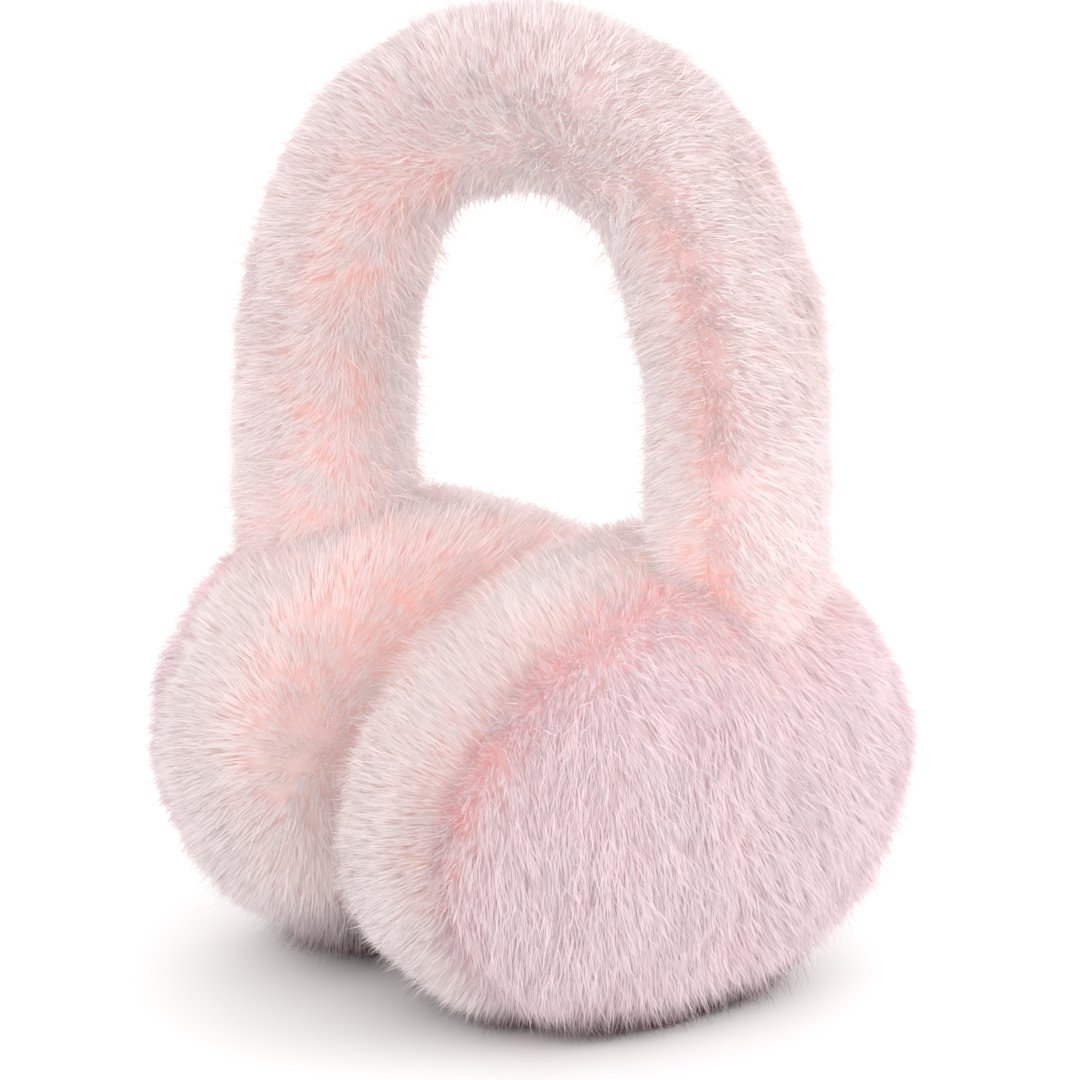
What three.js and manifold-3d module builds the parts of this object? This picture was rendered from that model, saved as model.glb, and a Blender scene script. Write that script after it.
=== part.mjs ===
import * as THREE from "three";
import { mergeVertices } from "three/addons/utils/BufferGeometryUtils.js";
import Module from "manifold-3d";

const wasm = await Module();
wasm.setup();

// Fur earmuffs standing on their two cups, in millimetres
// -Y is the front, +Z is up and +X runs towards the cup for the wearer's left ear
// The origin is on the surface, under the middle of the two cups

// Cups, measured over the fur; both depths start at a cup's middle plane
const CUP_LENGTH = 126;
const CUP_HEIGHT = 97;
const CUP_FACE_DEPTH = 35.5;
const CUP_PAD_DEPTH = 29;
const CUP_GAP = 1.6;
const CUP_OUTLINE_POWER = 2;
const CUP_FACE_DOME_POWER = 2.5;
const CUP_PAD_DOME_POWER = 4.2;

// The top of a cup rises towards its leg's side, by this share of its height at the end
const CUP_TOP_SLOPE = 0.11;

// Each cup hangs askew from its leg: it is turned about the ear axis and shifted to the leg's side
const CUP_ROLL_DEGREES = 8;
const CUP_SHIFT_TO_LEG = 3.4;

// The fur under each cup is pressed flat by the weight, this deep
const FOOT_PRESS = 4.4;

// Seams between a cup's rim and its two faces, from the cup's middle plane, and their valleys
const FACE_SEAM_OFFSET = 10;
const PAD_SEAM_OFFSET = 14;
const FACE_CREASE_DEPTH = 2.5;
const PAD_CREASE_DEPTH = 1;
const CREASE_WIDTH = 6;

// Headband, measured over the fur; its plane has turned against the pair of cups
const BAND_TOP = 199;
const BAND_REACH = 45.5;
const BAND_WIDTH = 40;
const BAND_THICKNESS = 34;
const BAND_SPRING_HEIGHT = 109;
const BAND_ARCH_POWER = 2.36;
const BAND_SECTION_POWER = 2.4;
const BAND_SOCKET_DEPTH = 26;
const BAND_TURN_DEGREES = 30;

// Fur locks stand on a backing that lies this far under the outline
const FUR_DEPTH = 1.2;
const LOCK_LENGTH = 22;
const LOCK_WIDTH = 14;
const LOCK_THICKNESS = 5.6;
const LOCK_SINK = 1;
const LOCK_LIFT_DEGREES = 6;
const LOCK_SWAY_DEGREES = 14;
const LOCK_PLACE_SWAY = 0.2;

// Clearance between neighbouring pieces, and round a cup for the band's last locks
const PIECE_GAP = 0.3;
const LOCK_CLEARANCE = 5.5;

// Rows of locks on a cup: place is the share of the way across the piece from its first edge
const FACE_ROWS = [
  { place: 0.15, locks: 16 },
  { place: 0.43, locks: 12 },
  { place: 0.72, locks: 6 },
];
const RIM_ROWS = [
  { place: 0.28, locks: 16 },
  { place: 0.75, locks: 16 },
];
const PAD_ROWS = [
  { place: 0.28, locks: 6 },
  { place: 0.70, locks: 12 },
];

// Rows of locks on the band: across is the share of the way over the strip from seam to seam
const OUTER_STRIP_ROWS = [
  { across: 0.17, locks: 13 },
  { across: 0.50, locks: 12 },
  { across: 0.83, locks: 13 },
];
const INNER_STRIP_ROWS = [
  { across: 0.24, locks: 10 },
  { across: 0.76, locks: 10 },
];

// Each piece has its own repeatable pattern of small differences between its locks
const LEFT_SEEDS = { face: 11, rim: 12, pad: 13 };
const RIGHT_SEEDS = { face: 21, rim: 22, pad: 23 };
const BAND_SEEDS = { outer: 31, inner: 32 };

// Mesh fineness
const CUP_SIDES = 28;
const FACE_RINGS = 5;
const RIM_RINGS = 4;
const PAD_RINGS = 4;
const BAND_STEPS = 28;
const STRIP_SIDES = 6;
const LAST_RING = 0.985;

// Colours of the pink fur
const FUR_FINISH = { roughness: 0.95, metalness: 0 };
const FACE_COLOUR = 0xedc9cd;
const RIM_COLOUR = 0xf0d2d0;
const PAD_COLOUR = 0xeebdb6;
const OUTER_STRIP_COLOUR = 0xf2d6d4;
const INNER_STRIP_COLOUR = 0xeec0ba;

const UP = new THREE.Vector3(0, 0, 1);
const DOWN = new THREE.Vector3(0, 0, -1);
const BACK = new THREE.Vector3(0, 1, 0);
const EAR_AXIS = new THREE.Vector3(1, 0, 0);
const radians = THREE.MathUtils.degToRad;

const cupCentreX = CUP_PAD_DEPTH + CUP_GAP / 2;
const cupReach = reachUp(CUP_LENGTH / 2, CUP_HEIGHT / 2, CUP_OUTLINE_POWER);
const cupCentreZ = cupReach - FOOT_PRESS;
const cupTop = cupCentreZ + cupReach;
const bandFoot = cupTop - BAND_SOCKET_DEPTH;
const bandRise = BAND_TOP - BAND_THICKNESS / 2 - BAND_SPRING_HEIGHT;
const archLength = Math.PI / 2 * (bandRise + BAND_REACH) / 2;
const legLength = BAND_SPRING_HEIGHT - bandFoot;
const halfBandLength = archLength + legLength;

function power(value, exponent) {
  return Math.sign(value) * Math.abs(value) ** exponent;
}

// How far a rolled oval of a given power stands above its own middle
function reachUp(halfLength, halfHeight, outlinePower) {
  const dual = outlinePower / (outlinePower - 1);
  const fromLength = Math.abs(halfLength * Math.sin(radians(CUP_ROLL_DEGREES))) ** dual;
  const fromHeight = Math.abs(halfHeight * Math.cos(radians(CUP_ROLL_DEGREES))) ** dual;
  return (fromLength + fromHeight) ** (1 / dual);
}

// A repeatable stream of numbers from -1 to 1
function seededStream(seed) {
  const multiplier = 1664525;
  const increment = 1013904223;
  const range = 2 ** 32;
  let state = seed;
  return () => {
    state = (Math.imul(state, multiplier) + increment) >>> 0;
    return (state / range) * 2 - 1;
  };
}

// Solids and meshes

function solidOf(geometry) {
  const plain = geometry.clone();
  plain.deleteAttribute("normal");
  plain.deleteAttribute("uv");
  const merged = mergeVertices(plain);
  return new wasm.Manifold(new wasm.Mesh({
    numProp: 3,
    vertProperties: Float32Array.from(merged.attributes.position.array),
    triVerts: Uint32Array.from(merged.index.array),
  }));
}

function meshOf(solid, name, colour) {
  const { vertProperties, triVerts } = solid.getMesh();
  const geometry = new THREE.BufferGeometry();
  geometry.setAttribute("position", new THREE.BufferAttribute(vertProperties, 3));
  geometry.setIndex(new THREE.BufferAttribute(triVerts, 1));
  const mesh = new THREE.Mesh(geometry, new THREE.MeshStandardMaterial({ color: colour, ...FUR_FINISH }));
  mesh.name = name;
  return mesh;
}

function middleOf(ring) {
  return ring.reduce((sum, point) => sum.add(point), new THREE.Vector3()).divideScalar(ring.length);
}

// A closed body through a row of rings with equal numbers of points, fanned shut at both ends
function bodyThroughRings(rings) {
  const sides = rings[0].length;
  const points = rings.flat();
  const triangles = [];
  for (let ring = 0; ring < rings.length - 1; ring += 1) {
    for (let side = 0; side < sides; side += 1) {
      const here = ring * sides + side;
      const next = ring * sides + (side + 1) % sides;
      triangles.push(here, next, here + sides, next, next + sides, here + sides);
    }
  }
  const lastRing = (rings.length - 1) * sides;
  const startCentre = points.push(middleOf(rings[0])) - 1;
  const endCentre = points.push(middleOf(rings[rings.length - 1])) - 1;
  for (let side = 0; side < sides; side += 1) {
    const next = (side + 1) % sides;
    triangles.push(startCentre, next, side);
    triangles.push(endCentre, lastRing + side, lastRing + next);
  }
  const geometry = new THREE.BufferGeometry().setFromPoints(points);
  geometry.setIndex(triangles);
  return solidOf(geometry);
}

function box(low, high) {
  const geometry = new THREE.BoxGeometry(high.x - low.x, high.y - low.y, high.z - low.z);
  geometry.translate((low.x + high.x) / 2, (low.y + high.y) / 2, (low.z + high.z) / 2);
  return solidOf(geometry);
}

function fuse(solids) {
  return solids.reduce((whole, solid) => whole.add(solid));
}

// Trimming a lock can leave a crumb on the far side of the cut: the largest body is the piece
function withoutCrumbs(solid) {
  return solid.decompose().reduce((largest, body) => (body.volume() > largest.volume() ? body : largest));
}

// One lock of fur: a long leaf whose root is buried in the backing and whose tip stands clear
function lock({ point, normal, flow }, stream) {
  const along = flow.clone().projectOnPlane(normal).normalize();
  along.applyAxisAngle(normal, radians(LOCK_SWAY_DEGREES) * stream());
  const side = new THREE.Vector3().crossVectors(normal, along);
  along.applyAxisAngle(side, -radians(LOCK_LIFT_DEGREES));
  const out = new THREE.Vector3().crossVectors(along, side);
  const geometry = new THREE.OctahedronGeometry(1);
  geometry.scale(LOCK_LENGTH / 2, LOCK_WIDTH / 2, LOCK_THICKNESS / 2);
  const middle = point.clone().addScaledVector(normal, -LOCK_SINK);
  geometry.applyMatrix4(new THREE.Matrix4().makeBasis(along, side, out).setPosition(middle));
  return solidOf(geometry);
}

// The cup for the left ear; the other cup is the same shape turned half way round

// The fur parts at both seams, which leaves a shallow valley there
function crease(x) {
  const fromFace = (x - FACE_SEAM_OFFSET) / CREASE_WIDTH;
  const fromPad = (x + PAD_SEAM_OFFSET) / CREASE_WIDTH;
  return FACE_CREASE_DEPTH * Math.exp(-(fromFace ** 2)) + PAD_CREASE_DEPTH * Math.exp(-(fromPad ** 2));
}

// The outer face is domed, and the pad side is fuller, where the two cups press together
function cupSide(across) {
  return across > 0
    ? { depth: CUP_FACE_DEPTH - FUR_DEPTH, domePower: CUP_FACE_DOME_POWER }
    : { depth: CUP_PAD_DEPTH - FUR_DEPTH, domePower: CUP_PAD_DOME_POWER };
}

// across runs from -1 in the middle of the pad to 1 in the middle of the face
// around runs from 0 to 1 about the ear axis, and grow moves the surface outwards
function cupPoint(across, around, grow) {
  const slope = Math.PI / 2 * across;
  const turn = 2 * Math.PI * around;
  const { depth, domePower } = cupSide(across);
  const height = CUP_HEIGHT / 2 - FUR_DEPTH;
  const length = CUP_LENGTH / 2 - FUR_DEPTH;
  const x = depth * power(Math.sin(slope), 2 / domePower);
  const reach = power(Math.cos(slope), 2 / domePower);
  const y = (reach * (length - crease(x)) + grow) * power(Math.cos(turn), 2 / CUP_OUTLINE_POWER);
  const level = (reach * (height - crease(x)) + grow) * power(Math.sin(turn), 2 / CUP_OUTLINE_POWER);
  const z = level > 0 ? level * (1 + CUP_TOP_SLOPE * y / length) : level;
  const point = new THREE.Vector3(x * (1 + grow / depth), y, z);
  point.applyAxisAngle(EAR_AXIS, radians(CUP_ROLL_DEGREES));
  return point.add(new THREE.Vector3(cupCentreX, CUP_SHIFT_TO_LEG, cupCentreZ));
}

// The value of across at a distance from the cup's middle plane
function acrossAt(x) {
  const { depth, domePower } = cupSide(x);
  return Math.asin(power(x / depth, domePower / 2)) / (Math.PI / 2);
}

function cupZone({ from, to, rings }, grow, turn) {
  const sections = [];
  for (let ring = 0; ring <= rings; ring += 1) {
    const across = from + (to - from) * ring / rings;
    const points = [];
    for (let side = 0; side < CUP_SIDES; side += 1) {
      points.push(cupPoint(across, side / CUP_SIDES, grow).applyAxisAngle(UP, turn));
    }
    sections.push(points);
  }
  return bodyThroughRings(sections);
}

function cupNormal(across, around) {
  const step = 0.01;
  const aroundStep = cupPoint(across, around + step, 0).sub(cupPoint(across, around - step, 0));
  const acrossStep = cupPoint(across + step, around, 0).sub(cupPoint(across - step, around, 0));
  return new THREE.Vector3().crossVectors(aroundStep, acrossStep).normalize();
}

function cupLocks({ from, to, rows, flowAt }, seed) {
  const stream = seededStream(seed);
  const locks = [];
  rows.forEach((row, rowNumber) => {
    for (let number = 0; number < row.locks; number += 1) {
      const across = from + (to - from) * row.place;
      const stagger = (rowNumber % 2) / 2;
      const around = (number + stagger + LOCK_PLACE_SWAY * stream()) / row.locks;
      const point = cupPoint(across, around, 0);
      locks.push(lock({ point, normal: cupNormal(across, around), flow: flowAt(point) }, stream));
    }
  });
  return fuse(locks);
}

// The outer face is combed down and fans out a little to the front and the back
function faceFlow(point) {
  return new THREE.Vector3(0, point.y / CUP_LENGTH, 0).add(DOWN);
}

// The rim's fur runs away from the face seam, and down along the cup's front and back
function rimFlow() {
  return new THREE.Vector3(-1, 0, -1);
}

// The pad's fur spreads outwards and down from a swirl near its top
function padFlow(point) {
  return new THREE.Vector3(0, point.y / CUP_LENGTH, (point.z - cupTop) / CUP_HEIGHT);
}

const faceSeam = cupCentreX + FACE_SEAM_OFFSET;
const padSeam = cupCentreX - PAD_SEAM_OFFSET;
const CUP_PIECES = {
  face: {
    from: acrossAt(FACE_SEAM_OFFSET + PIECE_GAP / 2),
    to: LAST_RING,
    rings: FACE_RINGS,
    rows: FACE_ROWS,
    flowAt: faceFlow,
    space: {
      lowX: faceSeam + PIECE_GAP / 2,
      highX: cupCentreX + CUP_FACE_DEPTH + FUR_DEPTH,
      lowZ: PIECE_GAP,
    },
  },
  rim: {
    from: acrossAt(PIECE_GAP / 2 - PAD_SEAM_OFFSET),
    to: acrossAt(FACE_SEAM_OFFSET - PIECE_GAP / 2),
    rings: RIM_RINGS,
    rows: RIM_ROWS,
    flowAt: rimFlow,
    space: { lowX: padSeam + PIECE_GAP / 2, highX: faceSeam - PIECE_GAP / 2, lowZ: 0 },
  },
  pad: {
    from: -LAST_RING,
    to: acrossAt(-PAD_SEAM_OFFSET - PIECE_GAP / 2),
    rings: PAD_RINGS,
    rows: PAD_ROWS,
    flowAt: padFlow,
    space: { lowX: PIECE_GAP / 2, highX: padSeam - PIECE_GAP / 2, lowZ: PIECE_GAP },
  },
};

function spaceOf({ lowX, highX, lowZ }) {
  const low = new THREE.Vector3(lowX, -CUP_LENGTH, lowZ);
  const high = new THREE.Vector3(highX, CUP_LENGTH, BAND_TOP);
  return box(low, high);
}

function cupPiece(piece, seed) {
  const whole = cupZone(piece, 0, 0).add(cupLocks(piece, seed));
  return withoutCrumbs(whole.intersect(spaceOf(piece.space)).subtract(bandRoom));
}

// The headband runs in an upright plane from one cup over the crown to the other

// along runs from -1 at the foot in the right cup over the crown to 1 at the foot in the left cup
function bandLine(along) {
  const side = Math.sign(along);
  const travelled = Math.abs(along) * halfBandLength;
  if (travelled > archLength) {
    const point = new THREE.Vector3(side * BAND_REACH, 0, BAND_SPRING_HEIGHT + archLength - travelled);
    return { point, out: new THREE.Vector3(side, 0, 0) };
  }
  const turn = Math.PI / 2 * travelled / archLength;
  const acrossShare = power(Math.sin(turn), 2 / BAND_ARCH_POWER);
  const upShare = power(Math.cos(turn), 2 / BAND_ARCH_POWER);
  const height = BAND_SPRING_HEIGHT + bandRise * upShare;
  const point = new THREE.Vector3(side * BAND_REACH * acrossShare, 0, height);
  const outX = side * power(acrossShare, BAND_ARCH_POWER - 1) / BAND_REACH;
  const outZ = power(upShare, BAND_ARCH_POWER - 1) / bandRise;
  return { point, out: new THREE.Vector3(outX, 0, outZ).normalize() };
}

// A point beside the centre line: height is measured outwards and offset towards the back
function bandPoint(along, height, offset) {
  const { point, out } = bandLine(along);
  point.addScaledVector(out, height).addScaledVector(BACK, offset);
  return point.applyAxisAngle(UP, radians(BAND_TURN_DEGREES));
}

// A place on a strip: side is 1 on the outer strip and -1 on the inner one
// across runs from 0 at the front seam to 1 at the back seam
function stripPoint(side, along, across, grow) {
  const turn = Math.PI * across;
  const halfThickness = BAND_THICKNESS / 2 - FUR_DEPTH + grow - PIECE_GAP / 2;
  const halfWidth = BAND_WIDTH / 2 - FUR_DEPTH + grow;
  const height = PIECE_GAP / 2 + halfThickness * power(Math.sin(turn), 2 / BAND_SECTION_POWER);
  const offset = -halfWidth * power(Math.cos(turn), 2 / BAND_SECTION_POWER);
  return bandPoint(along, side * height, offset);
}

function bodyAlongBand(reach, sectionAt) {
  const sections = [];
  for (let step = 0; step <= BAND_STEPS; step += 1) {
    sections.push(sectionAt(reach * (2 * step / BAND_STEPS - 1)));
  }
  return bodyThroughRings(sections);
}

function stripSection(side, along, grow) {
  const points = [];
  for (let step = 0; step <= STRIP_SIDES; step += 1) {
    points.push(stripPoint(side, along, step / STRIP_SIDES, grow));
  }
  return side > 0 ? points.reverse() : points;
}

// The space on one side of the band's middle surface, in which that side's strip stays
function stripSpace(side) {
  const near = side * PIECE_GAP / 2;
  const far = side * (BAND_THICKNESS / 2 + FUR_DEPTH);
  const corners = [[near, -BAND_WIDTH], [far, -BAND_WIDTH], [far, BAND_WIDTH], [near, BAND_WIDTH]];
  return bodyAlongBand(1, (along) => {
    const points = corners.map(([height, offset]) => bandPoint(along, height, offset));
    return side > 0 ? points.reverse() : points;
  });
}

// The room that a leg takes up in a cup, with its clearance
function bandRoomSection(along) {
  const outer = stripSection(1, along, PIECE_GAP);
  const inner = stripSection(-1, along, PIECE_GAP);
  return outer.concat(inner.slice(1, -1));
}

// The nap runs over the crown from the right cup to the left one and away from both seams
function stripLocks(side, rows, seed) {
  const stream = seededStream(seed);
  const step = 0.01;
  const locks = [];
  rows.forEach((row, rowNumber) => {
    for (let number = 0; number < row.locks; number += 1) {
      const stagger = (1 + rowNumber % 2) / 2;
      const along = lockReach * (2 * (number + stagger + LOCK_PLACE_SWAY * stream()) / row.locks - 1);
      const point = stripPoint(side, along, row.across, 0);
      const onwards = stripPoint(side, along + step, row.across, 0).sub(point).normalize();
      const sideways = stripPoint(side, along, row.across + step, 0).sub(point).normalize();
      const normal = new THREE.Vector3().crossVectors(onwards, sideways).multiplyScalar(side);
      const parting = 1 - 2 * row.across;
      locks.push(lock({ point, normal, flow: onwards.addScaledVector(sideways, parting) }, stream));
    }
  });
  return fuse(locks);
}

function stripPiece(side, rows, seed) {
  const backing = bodyAlongBand(1, (along) => stripSection(side, along, 0));
  const locks = stripLocks(side, rows, seed).intersect(stripSpace(side));
  return withoutCrumbs(backing.add(locks.subtract(cupRoom)));
}

// Both cups with the room that their own locks need, kept clear by the band's locks
function cupRoomSolid(turn) {
  const whole = { from: -LAST_RING, to: LAST_RING, rings: FACE_RINGS + RIM_RINGS + PAD_RINGS };
  return cupZone(whole, LOCK_CLEARANCE, turn);
}

const lockReach = 1 - BAND_SOCKET_DEPTH / halfBandLength;
const clearedReach = 1 + PIECE_GAP / halfBandLength;
const bandRoom = bodyAlongBand(clearedReach, bandRoomSection);
const cupRoom = cupRoomSolid(0).add(cupRoomSolid(Math.PI));

// The whole object

function cup(name, seeds, turn) {
  const group = new THREE.Group();
  group.add(
    meshOf(cupPiece(CUP_PIECES.face, seeds.face), `${name}_cup_face`, FACE_COLOUR),
    meshOf(cupPiece(CUP_PIECES.rim, seeds.rim), `${name}_cup_rim`, RIM_COLOUR),
    meshOf(cupPiece(CUP_PIECES.pad, seeds.pad), `${name}_ear_pad`, PAD_COLOUR),
  );
  group.rotation.z = turn;
  return group;
}

const earmuffs = new THREE.Group();
earmuffs.add(
  meshOf(stripPiece(1, OUTER_STRIP_ROWS, BAND_SEEDS.outer), "headband_outer_strip", OUTER_STRIP_COLOUR),
  meshOf(stripPiece(-1, INNER_STRIP_ROWS, BAND_SEEDS.inner), "headband_inner_strip", INNER_STRIP_COLOUR),
  cup("left", LEFT_SEEDS, 0),
  cup("right", RIGHT_SEEDS, Math.PI),
);

export default earmuffs;
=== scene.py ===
# %% [markdown]
# # A pair of pink fur earmuffs
# Earmuffs are two padded cups on a sprung band, and here fur covers every part of them. Fur could be
# made with particle hair or with hair curves, but a model that is handed on has to be plain mesh. So
# each piece below is a padded backing worked out from a formula, with tens of thousands of thin
# tapering hairs joined to it in one mesh.

# %% Load the frame
import math
from functools import partial

import bpy
import numpy as np
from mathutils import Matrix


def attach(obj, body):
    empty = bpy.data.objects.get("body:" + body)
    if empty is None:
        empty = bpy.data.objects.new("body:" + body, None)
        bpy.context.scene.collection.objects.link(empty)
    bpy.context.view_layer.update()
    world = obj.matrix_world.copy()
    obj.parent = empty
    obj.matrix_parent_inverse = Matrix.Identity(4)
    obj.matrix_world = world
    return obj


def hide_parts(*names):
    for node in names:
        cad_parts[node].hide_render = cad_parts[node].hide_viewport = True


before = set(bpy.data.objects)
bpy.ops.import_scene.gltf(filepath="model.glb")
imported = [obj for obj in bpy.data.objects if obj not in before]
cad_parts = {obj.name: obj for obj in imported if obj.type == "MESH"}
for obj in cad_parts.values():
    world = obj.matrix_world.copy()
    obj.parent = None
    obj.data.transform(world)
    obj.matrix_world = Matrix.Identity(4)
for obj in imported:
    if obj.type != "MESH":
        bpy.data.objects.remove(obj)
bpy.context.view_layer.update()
print("nodes:", sorted(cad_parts))

# %% [markdown]
# ## The camera
# The photograph looks down a little on the front left of the earmuffs, from far enough away that the
# far cup is hardly smaller than the near one. That takes a long lens. The camera could be aimed by
# hand, but a bearing, a height angle and a distance from a point on the object's axis can be reasoned
# about and changed one at a time.

# %% Camera
BEARING = math.radians(52.2)
HEIGHT_ANGLE = math.radians(15.3)
CAMERA_DISTANCE = 1.193
AIM_HEIGHT = 0.0898
AIM_TO_RIGHT = 0.00225
LENS_WIDTHS = 5.394
SENSOR_WIDTH = 36.0

towards_camera = np.array([
    math.sin(BEARING) * math.cos(HEIGHT_ANGLE),
    -math.cos(BEARING) * math.cos(HEIGHT_ANGLE),
    math.sin(HEIGHT_ANGLE),
])
camera_right = np.array([math.cos(BEARING), math.sin(BEARING), 0.0])
aim = camera_right * AIM_TO_RIGHT + np.array([0, 0, AIM_HEIGHT])
camera_data = bpy.data.cameras.new("camera")
camera_data.sensor_width = SENSOR_WIDTH
camera_data.lens = SENSOR_WIDTH * LENS_WIDTHS
camera = bpy.data.objects.new("camera", camera_data)
camera.location = towards_camera * CAMERA_DISTANCE + aim
camera.rotation_euler = (math.pi / 2 - HEIGHT_ANGLE, 0, BEARING)
bpy.context.scene.collection.objects.link(camera)
bpy.context.scene.camera = camera
print("camera at", [round(v, 3) for v in camera.location])

# %% [markdown]
# ## Five small tools
# The forms, the way the pile lies and its colours are all worked out from points with the same few
# moves. They are written once, so that the recipes further down stay short enough to read.

# %% Power, bell, ramp, unit and turn
MM = 0.001
TAU = 2 * np.pi


def power(value, exponent):
    """The sign of a value times the power of its size, so that curves keep their two halves."""
    return np.sign(value) * np.abs(value) ** exponent


def bell(value, width, exponent=2):
    """One at zero and fading on both sides: e to the minus power of the value over the width."""
    return np.exp(-(value / width) ** exponent)


def ramp(value, start, end, low=0.0):
    """Nought at the start and one at the end, a straight line between, kept from low to one."""
    return np.clip((value - start) / (end - start), low, 1)


def unit(vectors):
    """Each vector divided by its own length."""
    return vectors / np.maximum(np.linalg.norm(vectors, axis=-1, keepdims=True), 1e-12)


def turned(points, angle):
    """Points turned about the upright axis: x and y each become a mix of both, by sine and cosine."""
    x, y, z = np.moveaxis(points, -1, 0)
    return np.stack([x * math.cos(angle) - y * math.sin(angle),
                     x * math.sin(angle) + y * math.cos(angle), z], axis=-1)


print("a ramp from 2 to 4 at 1, 3 and 5:", ramp(np.array([1, 3, 5]), 2, 4))

# %% [markdown]
# ## The forms under the fur
# A cup is a flattened ball: an oval seen from the side, thicker on its outer face than on the ear side,
# and a little askew, because it hangs from the band's leg. It could be sculpted from a ball, but as a
# surface of two numbers, one across the cup from the ear side to the outer face and one around the ear
# axis, it gives hairs their roots as well. The other cup is the same form turned half way round.

# %% Cup surface
CUP_LENGTH = 126 * MM
CUP_HEIGHT = 97 * MM
CUP_FACE_DEPTH = 35.5 * MM
CUP_PAD_DEPTH = 29 * MM
CUP_GAP = 1.6 * MM
CUP_FACE_DOME_POWER = 2.5
CUP_PAD_DOME_POWER = 4.2
CUP_TOP_SLOPE = 0.11
CUP_ROLL = math.radians(8)
CUP_SHIFT_TO_LEG = 3.4 * MM
FOOT_PRESS = 4.4 * MM
FACE_SEAM = 10 * MM
PAD_SEAM = -14 * MM
FACE_CREASE_DEPTH = 2.5 * MM
PAD_CREASE_DEPTH = 0.4 * MM
CREASE_WIDTH = 6 * MM

cup_reach = math.hypot(CUP_LENGTH / 2 * math.sin(CUP_ROLL), CUP_HEIGHT / 2 * math.cos(CUP_ROLL))
CUP_CENTRE = np.array([CUP_PAD_DEPTH + CUP_GAP / 2, CUP_SHIFT_TO_LEG, cup_reach - FOOT_PRESS])


def cup_surface(across, around, sink):
    """A point on the left cup: the sine and cosine of each number, raised to a power, give a rounded
    box; the oval is drawn in at the two seams, raised towards the leg's side at the top, turned about
    the ear axis, and moved inwards by sink."""
    slope = np.pi / 2 * across
    turn = TAU * around
    depth = np.where(across > 0, CUP_FACE_DEPTH, CUP_PAD_DEPTH)
    dome = np.where(across > 0, CUP_FACE_DOME_POWER, CUP_PAD_DOME_POWER)
    x = depth * power(np.sin(slope), 2 / dome)
    reach = power(np.cos(slope), 2 / dome)
    crease = FACE_CREASE_DEPTH * bell(x - FACE_SEAM, CREASE_WIDTH)
    crease = crease + PAD_CREASE_DEPTH * bell(x - PAD_SEAM, CREASE_WIDTH)
    inset = sink * np.sqrt(reach)
    y = (reach * (CUP_LENGTH / 2 - crease) - inset) * np.cos(turn)
    z = (reach * (CUP_HEIGHT / 2 - crease) - inset) * np.sin(turn)
    z = z * (1 + CUP_TOP_SLOPE * (z > 0) * y / (CUP_LENGTH / 2))
    rolled_y = y * math.cos(CUP_ROLL) - z * math.sin(CUP_ROLL)
    rolled_z = y * math.sin(CUP_ROLL) + z * math.cos(CUP_ROLL)
    return np.stack([x * (1 - sink / depth), rolled_y, rolled_z], axis=-1) + CUP_CENTRE


def across_at(x):
    """The across number whose place is x from the cup's middle plane: x over the depth, to half the
    dome's power, is the sine of the slope."""
    depth, dome = (CUP_FACE_DEPTH, CUP_FACE_DOME_POWER) if x > 0 else (CUP_PAD_DEPTH, CUP_PAD_DOME_POWER)
    return math.copysign(math.asin((abs(x) / depth) ** (dome / 2)) / (math.pi / 2), x)


print("cup centre", CUP_CENTRE.round(4), "seams across at", round(across_at(FACE_SEAM), 3),
      round(across_at(PAD_SEAM), 3))

# %% [markdown]
# The band is a section carried along an arch. The arch is a rounded box's outline over two straight
# legs. A bent curve with a bevel would carry a section too, but here the section also draws in at the
# seams, only where the pile parts. The arch lies in an upright plane that has turned against the pair
# of cups, as the soft spring does when the earmuffs stand.

# %% Band line
BAND_TOP = 199 * MM
BAND_REACH = 45.5 * MM
BAND_WIDTH = 40 * MM
BAND_THICKNESS = 34 * MM
BAND_SPRING_HEIGHT = 109 * MM
BAND_ARCH_POWER = 2.36
BAND_SOCKET_DEPTH = 26 * MM

band_foot = CUP_CENTRE[2] + cup_reach - BAND_SOCKET_DEPTH
band_rise = BAND_TOP - BAND_THICKNESS / 2 - BAND_SPRING_HEIGHT
arch_length = math.pi / 2 * (band_rise + BAND_REACH) / 2
half_band = arch_length + BAND_SPRING_HEIGHT - band_foot


def band_line(along):
    """The arch's centre line and its outward direction: along is -1 at the right foot, 0 at the crown
    and 1 at the left foot. Sine and cosine of the way travelled, raised to a power, give the arch, and
    past the arch's end the line runs straight down."""
    side = np.sign(along)
    travelled = np.abs(along) * half_band
    turn = np.pi / 2 * np.clip(travelled / arch_length, 0, 1)
    across = power(np.sin(turn), 2 / BAND_ARCH_POWER)
    up = power(np.clip(np.cos(turn), 0, 1), 2 / BAND_ARCH_POWER)
    x = side * BAND_REACH * across
    z = BAND_SPRING_HEIGHT + band_rise * up - np.maximum(travelled - arch_length, 0)
    out_x = side * across ** (BAND_ARCH_POWER - 1) / BAND_REACH
    out_z = up ** (BAND_ARCH_POWER - 1) / band_rise
    size = np.hypot(out_x, out_z)
    return x, z, out_x / size, out_z / size


print("band from foot to crown:", round(half_band, 4), "of which arch:", round(arch_length, 4))

# %% Band surface
BAND_SECTION_POWER = 2.4
BAND_TURN = math.radians(30)
SEAM_VALLEY = 0.8 * MM
SEAM_SHARPNESS = 12
PARTING_START = 0.2
PARTING_OPEN = 0.35
LESSER_PARTING = 0.25


def parting(along, around):
    """How far the pile parts at a seam, 0 to 1: a ramp down from the crown, whole on the near leg's
    front seam and the far leg's back one, and only a little on the other two."""
    opened = ramp(np.abs(along), PARTING_START, PARTING_OPEN)
    return opened * np.where(along * np.sin(TAU * around) < 0, 1.0, LESSER_PARTING)


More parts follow.
